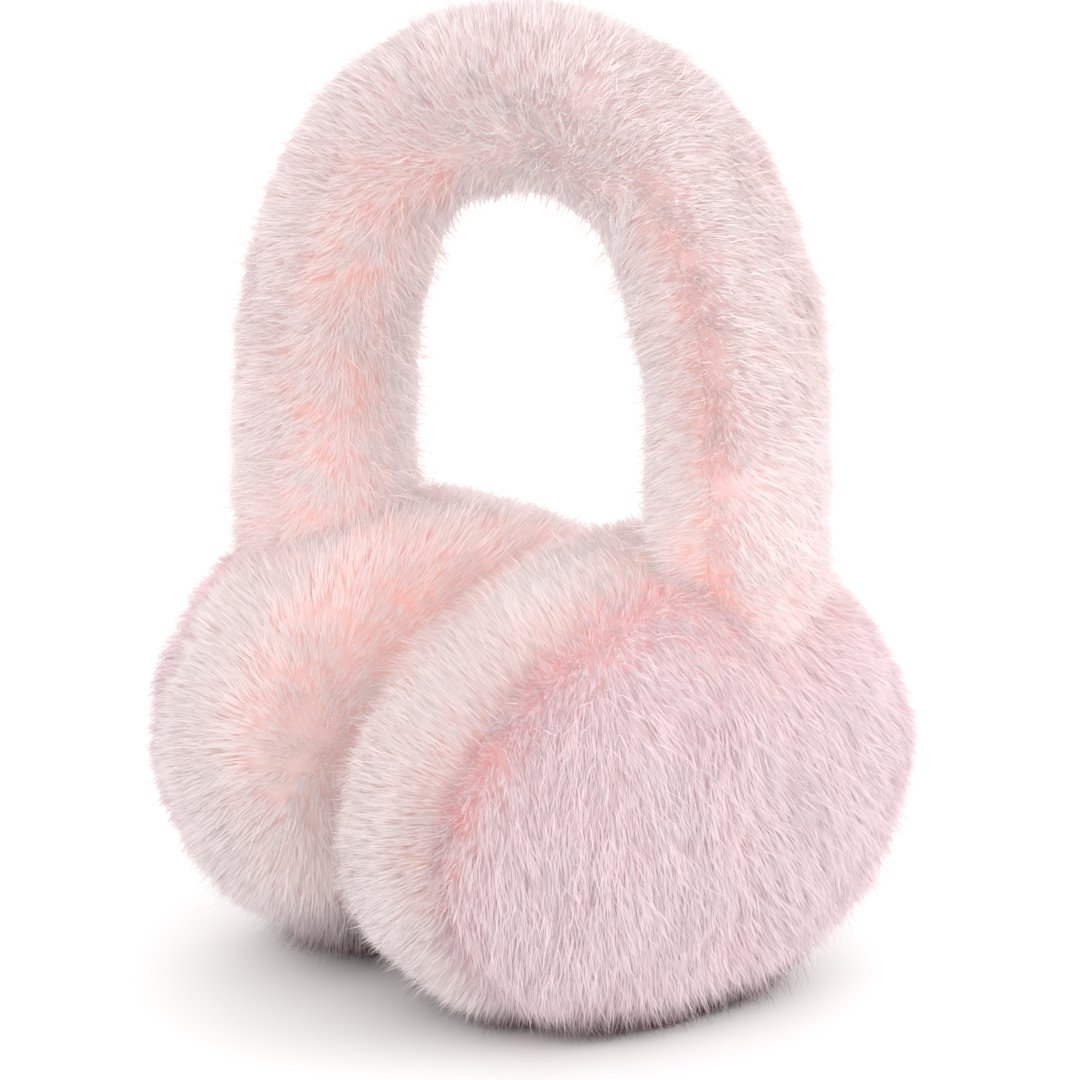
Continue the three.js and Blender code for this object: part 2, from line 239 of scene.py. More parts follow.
def band_surface(along, around, sink):
    """A point on the band: around is 0 in the middle of the outer strip, 0.25 on the back seam, 0.5 in
    the middle of the inner strip and 0.75 on the front seam. Powers of its sine and cosine give a
    rounded box for the section, which is drawn in a little where the pile parts."""
    x, z, out_x, out_z = band_line(along)
    turn = TAU * around
    valley = SEAM_VALLEY * parting(along, around) * np.abs(np.sin(turn)) ** SEAM_SHARPNESS
    height = (BAND_THICKNESS / 2 - sink) * power(np.cos(turn), 2 / BAND_SECTION_POWER)
    offset = (BAND_WIDTH / 2 - sink - valley) * power(np.sin(turn), 2 / BAND_SECTION_POWER)
    return turned(np.stack([x + out_x * height, offset, z + out_z * height], axis=-1), BAND_TURN)


print("parting at the near leg's middle, back seam and front seam:",
      [float(parting(0.6, around)) for around in (0.25, 0.75)])

# %% [markdown]
# ## Meshes from arrays
# Every piece ends as one mesh of triangles. Blender takes whole arrays of numbers at once, which is far
# quicker than adding one face at a time, and fur has far too many faces for a loop. Each triangle
# corner also carries two UV maps: one says how far along its hair it is and which shade that hair has,
# the other gives each hair its own spot on a texture for whoever exports the model.

# %% Mesh from arrays
def mesh_object(name, points, triangles, fur_uv, bake_uv, warmth_and_shade):
    """One mesh object from arrays of points and triangles, the two UV maps' values at the points, and
    how warm the pile is there, painted shade at the joins included."""
    mesh = bpy.data.meshes.new(name)
    mesh.vertices.add(len(points))
    mesh.vertices.foreach_set("co", points.astype(np.float32).ravel())
    mesh.loops.add(triangles.size)
    mesh.loops.foreach_set("vertex_index", triangles.astype(np.int32).ravel())
    mesh.polygons.add(len(triangles))
    mesh.polygons.foreach_set("loop_start", np.arange(0, triangles.size, 3, dtype=np.int32))
    for title, values in (("Fur", fur_uv), ("OFBake", bake_uv)):
        layer = mesh.uv_layers.new(name=title)
        layer.uv.foreach_set("vector", values[triangles.ravel()].astype(np.float32).ravel())
    # The warmth attribute also holds painted shade where the legs meet the cups.
    warmth_and_shade_layer = mesh.attributes.new("WarmthAndShade", "FLOAT", "POINT")
    warmth_and_shade_layer.data.foreach_set("value", warmth_and_shade.astype(np.float32))
    mesh.update()
    mesh.validate()
    piece = bpy.data.objects.new(name, mesh)
    bpy.context.scene.collection.objects.link(piece)
    return piece


def closed_body(rings):
    """Points and triangles of a body through rings of points: two triangles for each step along and
    around, and a fan to the mean of the first and of the last ring to close the ends."""
    count, sides, _ = rings.shape
    index = np.arange(count * sides).reshape(count, sides)
    here, beyond = index[:-1], index[1:]
    turned_here, turned_beyond = np.roll(here, -1, axis=1), np.roll(beyond, -1, axis=1)
    walls = np.concatenate([np.stack([here, turned_here, beyond], -1).reshape(-1, 3),
                            np.stack([turned_here, turned_beyond, beyond], -1).reshape(-1, 3)])
    first, last = count * sides, count * sides + 1
    start = np.stack([np.full(sides, first), np.roll(index[0], -1), index[0]], -1)
    end = np.stack([np.full(sides, last), index[-1], np.roll(index[-1], -1)], -1)
    points = np.concatenate([rings.reshape(-1, 3), rings[:1].mean(axis=1), rings[-1:].mean(axis=1)])
    return points, np.concatenate([walls, start, end])


print("a body through 2 rings of 4 points has", len(closed_body(np.ones((2, 4, 3)))[1]), "triangles")

# %% [markdown]
# ## Scattering the tufts
# Pile fur doesn't stand as single evenly spaced hairs: a few dozen hairs lean together in a small tuft,
# and their pale tips meet, while the darker roots show between the tufts. So tufts are scattered first.
# Equal steps of a surface's two numbers would crowd them where the surface narrows, so a place is
# picked by its area instead.

# %% Scattering
SURFACE_STEP = 0.004
SCATTER_CELLS = 180


def normal_of(surface, first, second):
    """The outward direction: the cross product of two small steps on the surface."""
    along_first = surface(first + SURFACE_STEP, second) - surface(first - SURFACE_STEP, second)
    along_second = surface(first, second + SURFACE_STEP) - surface(first, second - SURFACE_STEP)
    return unit(np.cross(along_second, along_first))


def along_surface(direction, normal):
    """What is left of a direction after its part along the normal is taken out."""
    return unit(direction - normal * (direction * normal).sum(axis=-1, keepdims=True))


def scatter(surface, first_range, second_range, count, rng):
    """Random places with equal chances per area: a cell is picked by its area, the size of its two
    edges' cross product, and then a place inside it."""
    first_edges = np.linspace(*first_range, SCATTER_CELLS + 1)
    second_edges = np.linspace(*second_range, SCATTER_CELLS + 1)
    grid = surface(*np.meshgrid(first_edges, second_edges, indexing="ij"))
    corner = grid[:-1, :-1]
    area = np.linalg.norm(np.cross(grid[1:, :-1] - corner, grid[:-1, 1:] - corner), axis=-1)
    chosen = rng.choice(area.size, size=count, p=(area / area.sum()).ravel())
    row, column = np.divmod(chosen, SCATTER_CELLS)
    first = first_edges[row] + rng.random(count) * (first_edges[1] - first_edges[0])
    second = second_edges[column] + rng.random(count) * (second_edges[1] - second_edges[0])
    return first, second


print("scatter cells on each piece:", SCATTER_CELLS ** 2)

# %% [markdown]
# ## Growing the hair
# Each tuft has one lean and one length, and hairs are set around it and drawn towards its tip. A few
# stray hairs stand up out of it and run past it, and they make the soft fuzz round the outline. A hair
# could be a tube, but at a third of a millimetre nobody sees its section, so it is a kite of two
# triangles: a point at the root, widest and bent half way, and a point at the tip.

# %% One hair
TUFT_LENGTHS = (0.85, 1.15)
HAIR_LENGTHS = (0.72, 1.12)
HAIR_WIDTHS = (0.7, 1.25)
HAIR_ROLL = 0.7
MIDDLE_PULL = 0.4
STRAY_PULL = 0.05
STRAY_SWAY = 2.0
STRAY_WIDTH = 0.7


def tilted(normal, flow, lean):
    """A direction that leans from the normal towards the flow: cosine of one, sine of the other."""
    return unit(normal * np.cos(lean)[..., None] + flow * np.sin(lean)[..., None])


def grown(start, axes, turn, lean, length, bend):
    """Two straight halves from a start, each half the length and the upper one leaning further by the
    bend: the middle, the tip and the lower half's direction."""
    normal, flow, sideways = axes
    heading = flow * np.cos(turn)[..., None] + sideways * np.sin(turn)[..., None]
    out = np.broadcast_to(normal, heading.shape)
    lower = tilted(out, heading, lean - bend / 2)
    upper = tilted(out, heading, lean + bend / 2)
    half = (length / 2)[..., None]
    middle = start + lower * half
    return middle, middle + upper * half, lower


print("hair lengths run from", HAIR_LENGTHS[0], "to", HAIR_LENGTHS[1], "of their tuft's")

# %% Hairs of a tuft
def hairs(point, normal, flow, lean, length, style, rng):
    """Hairs for tufts at the given points: the four corners of each hair's kite, and its shade. Hairs
    of a tuft start in a disc around it, and each one's middle and tip are drawn towards the tuft's."""
    tufts, each = len(point), style["hairs"]
    sideways = unit(np.cross(normal, flow))
    axes = normal[:, None], flow[:, None], sideways[:, None]
    shape = (tufts, each)
    tuft_turn = rng.normal(0, style["sway"], (tufts, 1))
    tuft_lean = lean[:, None] + rng.normal(0, style["lean_sway"], (tufts, 1))
    tuft_length = length[:, None] * rng.uniform(*TUFT_LENGTHS, (tufts, 1))
    around = rng.uniform(0, TAU, shape)
    spread = style["tuft_radius"] * np.sqrt(rng.random(shape))
    tuft_root = (point - normal * style["root_depth"])[:, None]
    root = tuft_root + (flow[:, None] * (np.cos(around) * spread)[..., None]
                        + sideways[:, None] * (np.sin(around) * spread)[..., None])
    tuft_middle, tuft_tip, _ = grown(tuft_root, axes, tuft_turn, tuft_lean, tuft_length, style["bend"])
    stray = rng.random(shape) < style["strays"]
    turn = tuft_turn + rng.normal(0, style["hair_sway"], shape) * np.where(stray, STRAY_SWAY, 1.0)
    hair_lean = tuft_lean + rng.normal(0, style["hair_lean_sway"], shape)
    hair_lean = hair_lean - np.where(stray, style["stray_lift"], 0)
    hair_length = tuft_length * rng.uniform(*HAIR_LENGTHS, shape)
    hair_length = hair_length * np.where(stray, style["stray_stretch"], 1.0)
    middle, tip, lower = grown(root, axes, turn, hair_lean, hair_length, style["bend"])
    pull = np.where(stray, STRAY_PULL, style["pull"])[..., None]
    middle = middle + (tuft_middle - middle) * pull * MIDDLE_PULL
    tip = tip + (tuft_tip - tip) * pull
    broad = unit(np.cross(lower, np.broadcast_to(normal[:, None], lower.shape)))
    other = np.cross(lower, broad)
    roll = rng.normal(0, HAIR_ROLL, shape)[..., None]
    edge = broad * np.cos(roll) + other * np.sin(roll)
    width = style["width"] * rng.uniform(*HAIR_WIDTHS, shape) * np.where(stray, STRAY_WIDTH, 1.0)
    half_width = (width / 2)[..., None]
    kites = np.stack([root, middle - edge * half_width, middle + edge * half_width, tip], axis=2)
    tuft_shade = np.repeat(rng.random((tufts, 1)), each, axis=1)
    shade = np.clip(0.5 * tuft_shade + 0.5 * rng.random(shape), 0, 1)
    return kites.reshape(-1, 4, 3), shade.ravel()


print("a hair's tip is drawn to its tuft's by a set share, and a stray one's by", STRAY_PULL)

# %% [markdown]
# ## One mesh for each piece
# The fur could be an object of its own beside its backing, but then every piece would be two to move
# and to look after. Joined, a backing and its hairs are one mesh. The hairs are meshed as arrays too:
# the same two triangles for each, with their point numbers moved on by four.

# %% Joining a backing and its hairs
BACKING_TEXTURE_SHARE = 0.12
BACKING_TEXTURE_FILL = 0.95
HAIR_TRIANGLES = np.array([[0, 2, 1], [1, 2, 3]])
HAIR_ALONG = np.array([0.0, 0.5, 0.5, 1.0])
HAIR_SPOT = np.array([[0.5, 0.1], [0.1, 0.5], [0.9, 0.5], [0.5, 0.9]])


def texture_places(body_points, count):
    """Where the backing and the hairs lie on a baked texture: each hair takes a cell of a square grid,
    above a strip that the backing takes, seen from the side."""
    cells = math.ceil(math.sqrt(count))
    row, column = np.divmod(np.arange(count), cells)
    corner = np.stack([column, row], -1)[:, None]
    spots = ((corner + HAIR_SPOT[None]) / cells).reshape(-1, 2)
    spots = spots * [1, 1 - BACKING_TEXTURE_SHARE] + [0, BACKING_TEXTURE_SHARE]
    low, high = body_points.min(axis=0), body_points.max(axis=0)
    flat = ((body_points - low) / (high - low))[:, [1, 2]]
    return np.concatenate([flat * [1, BACKING_TEXTURE_SHARE * BACKING_TEXTURE_FILL], spots])


def fur_piece(name, backing, kites, shade, warmth_and_shade, backing_warmth_and_shade):
    """Joins a backing and its hairs in one mesh: the hairs' points follow the backing's, four to a
    hair, and their numbers are moved up by as many."""
    body_points, body_triangles = backing
    count = len(kites)
    hair_triangles = (HAIR_TRIANGLES[None] + 4 * np.arange(count)[:, None, None]).reshape(-1, 3)
    points = np.concatenate([body_points, kites.reshape(-1, 3)])
    triangles = np.concatenate([body_triangles, hair_triangles + len(body_points)])
    body_uv = np.full((len(body_points), 2), [0.5, 0.0])
    hair_uv = np.stack([np.repeat(shade, 4), np.tile(HAIR_ALONG, count)], -1)
    piece = mesh_object(name, points, triangles, np.concatenate([body_uv, hair_uv]),
                        texture_places(body_points, count),
                        np.concatenate([backing_warmth_and_shade, np.repeat(warmth_and_shade, 4)]))
    print(name, "hairs", count, "triangles", len(triangles))
    return piece


print("a hair has", len(HAIR_TRIANGLES), "triangles on", len(HAIR_ALONG), "points")

# %% [markdown]
# ## An uneven pile
# Fur that all leaned the same way would look combed by a machine. Random numbers for each tuft alone
# would look like noise. A few long sine waves, added up in random directions, give a smooth unevenness
# that turns, lifts and shortens whole patches of the pile together.

# %% Unevenness
WAVES = 7
WAVE_STRETCHES = (0.7, 1.5)
WAVE_SIZE = 0.7


def unevenness(points, wavelength, seed):
    """A smooth value of about -1 to 1: the sum of sine waves in random directions, over the square
    root of half their number."""
    rng = np.random.default_rng(seed)
    direction = unit(rng.normal(size=(WAVES, 3)))
    stretch = rng.uniform(*WAVE_STRETCHES, WAVES) / wavelength
    phase = rng.uniform(0, TAU, WAVES)
    waves = np.sin(TAU * (points @ direction.T) * stretch + phase)
    return waves.sum(axis=1) / math.sqrt(WAVES / 2) * WAVE_SIZE


print("unevenness at the cup's centre:", unevenness(CUP_CENTRE[None], 30 * MM, 1).round(3))

# %% [markdown]
# ## Where there is no fur
# Where one padded part goes into another there is no fur: the band's legs fill the tops of the cups.
# Boolean cuts would be slow on so many hairs, so two tests say whether a point lies in a cup's rounded
# oval or in a leg's rounded section, and the tufts inside are dropped.

# %% Inside a cup or a leg
def inside_left_cup(points, sink):
    """True where the cup's rounded box formula, for a cup smaller by sink, gives less than one."""
    x, y, z = np.moveaxis(points - CUP_CENTRE, -1, 0)
    long = (y * math.cos(CUP_ROLL) + z * math.sin(CUP_ROLL)) / (CUP_LENGTH / 2 - sink)
    high = (z * math.cos(CUP_ROLL) - y * math.sin(CUP_ROLL)) / (CUP_HEIGHT / 2 - sink)
    high = high / (1 + CUP_TOP_SLOPE * (high > 0) * long)
    deep = np.abs(x) / (np.where(x > 0, CUP_FACE_DEPTH, CUP_PAD_DEPTH) - sink)
    dome = np.where(x > 0, CUP_FACE_DOME_POWER, CUP_PAD_DOME_POWER)
    return deep ** dome + np.hypot(long, high) ** dome < 1


def leg_place(points, sink):
    """How far a point is from the left leg's middle line, in the leg's own plane, as shares of half
    the leg's thickness and of half its width."""
    flat = turned(points, -BAND_TURN)
    thick = np.abs(flat[..., 0] - BAND_REACH) / (BAND_THICKNESS / 2 - sink)
    wide = np.abs(flat[..., 1]) / (BAND_WIDTH / 2 - sink)
    return thick, wide


def inside_left_leg(points, sink):
    """True where the leg's rounded section formula gives less than one, above the leg's foot."""
    thick, wide = leg_place(points, sink)
    return (thick ** BAND_SECTION_POWER + wide ** BAND_SECTION_POWER < 1) & (points[..., 2] > band_foot)


print("the cup's centre is inside the cup:", bool(inside_left_cup(CUP_CENTRE, 0)))

# %% [markdown]
# ## The pink pile
# The pile is salmon pink at its roots and fades to a pale, cooler pink at its tips, which is why every
# parting and crease in it glows warm. All five furs share that idea, so the colour is worked out in one
# node group with named inputs, and each material gives it its own colours. Nodes could be placed by
# hand in Blender's editor. In a script, a few small helpers keep the chain readable.

# %% Node helpers
def linear(red, green, blue):
    """A display colour as Blender's linear light, each channel from 0 to 255 raised by the display's
    curve."""
    channels = np.array([red, green, blue]) / 255
    return (*np.where(channels <= 0.04045, channels / 12.92, ((channels + 0.055) / 1.055) ** 2.4), 1.0)


def add_node(tree, kind, inputs=None, **settings):
    """Adds a node, sets its properties, and fills or links its inputs by name or number."""
    node = tree.nodes.new(kind)
    for name, value in settings.items():
        setattr(node, name, value)
    for name, value in (inputs or {}).items():
        if isinstance(value, bpy.types.NodeSocket):
            tree.links.new(value, node.inputs[name])
        else:
            node.inputs[name].default_value = value
    return node


def maths(tree, operation, *values):
    """The result of one sum on values or links."""
    return add_node(tree, "ShaderNodeMath", dict(enumerate(values)), operation=operation).outputs[0]


def smooth_step(tree, value, low, high):
    """A map from low..high to 0..1 with soft ends."""
    step = add_node(tree, "ShaderNodeMapRange", {"Value": value, "From Min": low, "From Max": high},
                    interpolation_type="SMOOTHSTEP")
    return step.outputs["Result"]


def mix_colours(tree, share, first, second, blend="MIX"):
    """A colour mix by share, of two colours or links."""
    mix = add_node(tree, "ShaderNodeMix", {0: share, 6: first, 7: second},
                   data_type="RGBA", blend_type=blend)
    return mix.outputs[2]


def scaled(tree, colour, amount):
    """Each channel of a colour times one amount."""
    scale = add_node(tree, "ShaderNodeVectorMath", {0: colour, "Scale": amount}, operation="SCALE")
    return scale.outputs[0]


print("display grey 128 in linear light:", round(float(linear(128, 128, 128)[0]), 3))

# %% [markdown]
# The first half of the group mixes three colours along each hair: root, middle and tip. It shades whole
# patches a little with a slow noise, warms the roots where the mesh says that the pile is warm, which
# includes painted shade where the legs meet the cups, and makes some hairs darker than others, by the
# shade that each hair carries.

# %% Colour along a hair
GROUP_INPUTS = (("Position", "Vector"), ("Along", "Float"), ("Shade", "Float"), ("Root", "Color"),
                ("Middle", "Color"), ("Tip", "Color"), ("Patch", "Color"), ("Patch Amount", "Float"),
                ("Streak", "Float"), ("Warm", "Color"), ("WarmthAndShade", "Float"))
GROUP_OUTPUTS = (("Colour", "Color"), ("Glow", "Color"), ("Roughness", "Float"), ("Height", "Float"))
PATCH_NOISE_SCALE = 42.0

fur_pile = bpy.data.node_groups.new("fur_pile", "ShaderNodeTree")
for direction, sockets in (("INPUT", GROUP_INPUTS), ("OUTPUT", GROUP_OUTPUTS)):
    for title, kind in sockets:
        fur_pile.interface.new_socket(name=title, in_out=direction, socket_type="NodeSocket" + kind)
given = fur_pile.nodes.new("NodeGroupInput").outputs

to_middle = smooth_step(fur_pile, given["Along"], 0.0, 0.55)
to_tip = smooth_step(fur_pile, given["Along"], 0.4, 1.0)
low_half = mix_colours(fur_pile, to_middle, given["Root"], given["Middle"])
whole = mix_colours(fur_pile, to_tip, low_half, given["Tip"])
patches = add_node(fur_pile, "ShaderNodeTexNoise", {
    "Vector": given["Position"], "Scale": PATCH_NOISE_SCALE, "Detail": 2.0, "Roughness": 0.6})
in_patch = smooth_step(fur_pile, patches.outputs["Fac"], 0.42, 0.68)
patch_share = maths(fur_pile, "MULTIPLY", in_patch, given["Patch Amount"])
patched = mix_colours(fur_pile, patch_share, whole, given["Patch"], "MULTIPLY")
rooted = smooth_step(fur_pile, given["Along"], 1.05, 0.15)
warm_and_shade_share = maths(fur_pile, "MULTIPLY", rooted, given["WarmthAndShade"])
warmed_and_shaded = mix_colours(fur_pile, warm_and_shade_share, patched, given["Warm"], "MULTIPLY")
centred_shade = maths(fur_pile, "ADD", given["Shade"], -0.5)
streak = maths(fur_pile, "MULTIPLY_ADD", centred_shade, given["Streak"], 1.0)
streaked = scaled(fur_pile, warmed_and_shaded, streak)
print("fur_pile sockets:", [item.name for item in fur_pile.interface.items_tree])

# %% [markdown]
# The second half adds painted light and shade. Where the fringe touches the ground it is mixed towards
# a dark mauve, a painted contact shade that reaches higher up between the two cups than outside them.
# And light goes through fine hair and out again many times, which a short render leaves out. More
# bounces would do that in the render, but they cost minutes, so the group also puts out a faint glow,
# painted light that is strongest at the roots, at the tops of the cups and where the pile is warm,
# weaker on the band and low down, and gone where the fringe touches the ground.

# %% Painted contact shade and glow
# Painted contact shade: a dark mauve that the fringe is mixed towards where it touches the ground.
CONTACT_SHADE_TINT = linear(116, 84, 92)
CONTACT_SHADE_HEIGHT = 0.01
CONTACT_SHADE_EXTRA_BETWEEN = 0.014
GLOW_LOSS_ABOVE_CUPS = -0.6
CUP_TOP_GLOW_GAIN = 0.45
GLOW_BASE_BY_HEIGHT = 0.7
WARM_GLOW_GAIN = 0.35
FINE_NOISE_SCALE = 900.0

place = add_node(fur_pile, "ShaderNodeSeparateXYZ", {0: given["Position"]})
from_middle = maths(fur_pile, "ABSOLUTE", place.outputs["X"])
between = smooth_step(fur_pile, from_middle, 0.034, 0.006)
contact_shade_height = maths(fur_pile, "MULTIPLY_ADD", between, CONTACT_SHADE_EXTRA_BETWEEN, CONTACT_SHADE_HEIGHT)
height = maths(fur_pile, "DIVIDE", place.outputs["Z"], contact_shade_height)
clear_of_contact_shade = smooth_step(fur_pile, height, -0.1, 1.0)
# Painted contact shade: the colour goes to the dark mauve near the ground, higher up between the cups.
contact_shaded = mix_colours(fur_pile, clear_of_contact_shade, CONTACT_SHADE_TINT, streaked)

# Painted light: the glow is made stronger at the tops of the cups, weaker on the band and low down, and
# none is left where the contact shade is painted.
cup_top = smooth_step(fur_pile, place.outputs["Z"], 0.03, 0.09)
above_cups = smooth_step(fur_pile, place.outputs["Z"], 0.098, 0.13)
opened = maths(fur_pile, "MULTIPLY_ADD", above_cups, GLOW_LOSS_ABOVE_CUPS, cup_top)
opened = maths(fur_pile, "MULTIPLY_ADD", opened, CUP_TOP_GLOW_GAIN, GLOW_BASE_BY_HEIGHT)
opened = maths(fur_pile, "MULTIPLY", opened, clear_of_contact_shade)
deep = maths(fur_pile, "MULTIPLY", smooth_step(fur_pile, given["Along"], 1.15, 0.2), opened)
warm_glow = maths(fur_pile, "MULTIPLY_ADD", given["WarmthAndShade"], WARM_GLOW_GAIN, 1.0)
glow = scaled(fur_pile, warmed_and_shaded, maths(fur_pile, "MULTIPLY", deep, warm_glow))

rough = maths(fur_pile, "MULTIPLY_ADD", given["Shade"], 0.2, 0.62)
fine = add_node(fur_pile, "ShaderNodeTexNoise", {
    "Vector": given["Position"], "Scale": FINE_NOISE_SCALE, "Detail": 0.0})
add_node(fur_pile, "NodeGroupOutput", {"Colour": contact_shaded, "Glow": glow, "Roughness": rough,
                                       "Height": fine.outputs["Fac"]})
print("fur_pile nodes:", len(fur_pile.nodes))

# %% [markdown]
# ## One material for each kind of fur
# Hair this fine scatters light at its edges and lets some through, so the shader gets a soft sheen and
# a high roughness, and nearly half of it is a translucent one. A hair shader would do the same for
# curves, but it is no use on kites, and it isn't kept when the model is handed on. The faces of the
# cups are the coolest pink, the ear pads the warmest.

# %% Fur materials
# This salmon also paints the shade where the legs meet the cups.
SALMON = linear(255, 234, 229)
THROUGH_SHARE = 0.45
GLOW_STRENGTH = 0.32


def fur_material(name, root, middle, tip, patch, patch_amount, streak):
    """A Principled material that takes its colour, glow, roughness and bump height from the fur group,
    mixed with a translucent one of the same colour."""
    material = bpy.data.materials.new(name)
    material.use_nodes = True
    tree = material.node_tree
    tree.nodes.clear()
    hair = add_node(tree, "ShaderNodeUVMap", uv_map="Fur")
    parts = add_node(tree, "ShaderNodeSeparateXYZ", {0: hair.outputs["UV"]})
    position = add_node(tree, "ShaderNodeTexCoord")
    warmth_and_shade = add_node(tree, "ShaderNodeAttribute", attribute_name="WarmthAndShade")
    pile = add_node(tree, "ShaderNodeGroup", node_tree=fur_pile)
    for title, value in (("Position", position.outputs["Object"]), ("Along", parts.outputs["Y"]),
                         ("Shade", parts.outputs["X"]), ("WarmthAndShade", warmth_and_shade.outputs["Fac"])):
        tree.links.new(value, pile.inputs[title])
    for title, colour in (("Root", root), ("Middle", middle), ("Tip", tip), ("Patch", patch)):
        pile.inputs[title].default_value = linear(*colour)
    for title, value in (("Patch Amount", patch_amount), ("Streak", streak), ("Warm", SALMON)):
        pile.inputs[title].default_value = value
    bump = add_node(tree, "ShaderNodeBump", {
        "Strength": 0.2, "Distance": 0.0003, "Height": pile.outputs["Height"]})
    shader = add_node(tree, "ShaderNodeBsdfPrincipled", {
        "Base Color": pile.outputs["Colour"], "Roughness": pile.outputs["Roughness"],
        "Normal": bump.outputs[0], "Sheen Weight": 0.2, "Sheen Roughness": 0.45,
        "Sheen Tint": linear(255, 225, 225), "Specular IOR Level": 0.15,
        "Emission Color": pile.outputs["Glow"], "Emission Strength": GLOW_STRENGTH})
    through = add_node(tree, "ShaderNodeBsdfTranslucent", {"Color": pile.outputs["Colour"]})
    both = add_node(tree, "ShaderNodeMixShader", {
        0: THROUGH_SHARE, 1: shader.outputs[0], 2: through.outputs[0]})
    add_node(tree, "ShaderNodeOutputMaterial", {"Surface": both.outputs[0]})
    return material


face_fur = fur_material("face_fur", root=(238, 214, 216), middle=(238, 222, 225), tip=(239, 228, 231),
                        patch=(252, 246, 248), patch_amount=0.5, streak=0.08)
rim_fur = fur_material("rim_fur", root=(241, 223, 222), middle=(241, 230, 230), tip=(242, 235, 235),
                       patch=(252, 247, 247), patch_amount=0.4, streak=0.05)
pad_fur = fur_material("pad_fur", root=(241, 222, 220), middle=(242, 230, 230), tip=(242, 235, 235),
                       patch=(252, 248, 247), patch_amount=0.5, streak=0.05)
outer_fur = fur_material("outer_fur", root=(239, 220, 220), middle=(240, 228, 228), tip=(241, 233, 234),
                         patch=(252, 247, 247), patch_amount=0.4, streak=0.05)
inner_fur = fur_material("inner_fur", root=(240, 222, 221), middle=(241, 231, 231), tip=(242, 236, 237),
                         patch=(253, 248, 247), patch_amount=0.5, streak=0.05)
print("fur materials:", [m.name for m in (face_fur, rim_fur, pad_fur, outer_fur, inner_fur)])

# %% [markdown]
# ## How the pile lies on a cup
# A cup is sewn from three parts: the outer face, the padded rim that stands on the ground, and the ear
# pad. The photograph shows a different lie on each: down over the face, up and outwards over the rim,
# and away from a swirl on the pad. Combing with a brush would give it by hand. Here each part has a
# recipe that says, for any point, the direction, the lean and the length of the pile.

# %% Lie of the cups' fur
PAD_SWIRL = np.array([6.6, 43.4, 51.9]) * MM
FACE_PILE = 8.5 * MM
FACE_PILE_LOSS = 2.6 * MM
RIM_PILE = 6.6 * MM
PAD_PILE = 7.2 * MM
FROM_CREASE = np.array([-1, 0, -0.25])


def face_lie(point):
    """Down over the face, fanning out towards the back, and upright and shorter by a bell beside the
    crease: direction, lean and length."""
    back = (point[:, 1] - CUP_CENTRE[1]) / (CUP_LENGTH / 2)
    beside = bell(point[:, 0] - CUP_CENTRE[0] - FACE_SEAM, 7 * MM)
    direction = np.stack([0.3 + beside, 0.12 + 0.55 * back, np.full_like(back, -1)], -1)
    return direction, np.radians(60 - 46 * beside), FACE_PILE - FACE_PILE_LOSS * beside


def rim_lie(point):
    """Away from the crease on one side of the cup, away from the pad's swirl on the leg's side, and a
    ramp between the two."""
    seam_gap = (CUP_CENTRE[0] + FACE_SEAM - point[:, 0]) / (24 * MM)
    leg_side = ramp(point[:, 1], -5 * MM, 15 * MM) * ramp(point[:, 2], 100 * MM, 88 * MM)
    direction = FROM_CREASE * (1 - leg_side)[:, None] + unit(point - PAD_SWIRL) * leg_side[:, None]
    past_seam = ramp(seam_gap, 0, 0.5)
    lean = (14 + 34 * past_seam) * (1 - leg_side) + (20 + 18 * past_seam) * leg_side
    return direction, np.radians(lean), np.full_like(lean, RIM_PILE)


def pad_lie(point):
    """Straight away from the swirl, flatter by a ramp the further from it, with upright pile above."""
    away = point - PAD_SWIRL
    distance = np.linalg.norm(away[:, 1:], axis=1)
    lean = 14 + 42 * ramp(distance, 0, 24 * MM) * ramp(point[:, 2], 76 * MM, 56 * MM, low=0.5)
    direction = np.stack([0 * distance, away[:, 1], away[:, 2]], -1) / np.maximum(distance, MM)[:, None]
    return direction, np.radians(lean), np.full_like(lean, PAD_PILE)


print("the pad's swirl is at", PAD_SWIRL)

# %% Warmth and painted joint shade of the cups' fur
def cup_warmth_and_shade(point):
    """How far the salmon roots show: a bell over the crease beside the face, fading low down and at
    the back; and a ramp up the ear pad. A bell around the place where the leg goes in adds painted
    shade there, in the same salmon."""
    x, y, z = point[:, 0] - CUP_CENTRE[0], point[:, 1], point[:, 2]
    crease = bell(x - FACE_SEAM - 1 * MM, 8 * MM)
    crease = crease * ramp(z, 15 * MM, 45 * MM, low=0.15) * ramp(y, 40 * MM, 10 * MM, low=0.1)
    pad = ramp(x, -6 * MM, -23 * MM) * ramp(z, 36 * MM, 62 * MM)
    pad = pad * ramp(np.linalg.norm(point - PAD_SWIRL, axis=1), 0, 24 * MM, low=0.45)
    thick, wide = leg_place(point, 0)
    # Painted shade: a salmon bell where the leg goes into the cup, for the shadow at that join.
    junction_shade = bell(np.hypot(thick, wide) - 1, 0.4) * ramp(z, 66 * MM, 80 * MM)
    patchy = 0.75 + 0.35 * unevenness(point, 9 * MM, 77)
    return np.clip((0.95 * crease + pad + 0.6 * junction_shade) * patchy, 0, 1)


print("warmth at the pad's swirl:", cup_warmth_and_shade(PAD_SWIRL[None]).round(3))

# %% [markdown]
# ## Both cups
# The same three recipes make both cups. The far cup could be a copy, but then its random hairs would be
# the near cup's, so it is grown anew from its own seed as a left cup and its points are turned half way
# round. Each backing lies deeper than the fur's surface, and no point goes into the ground.

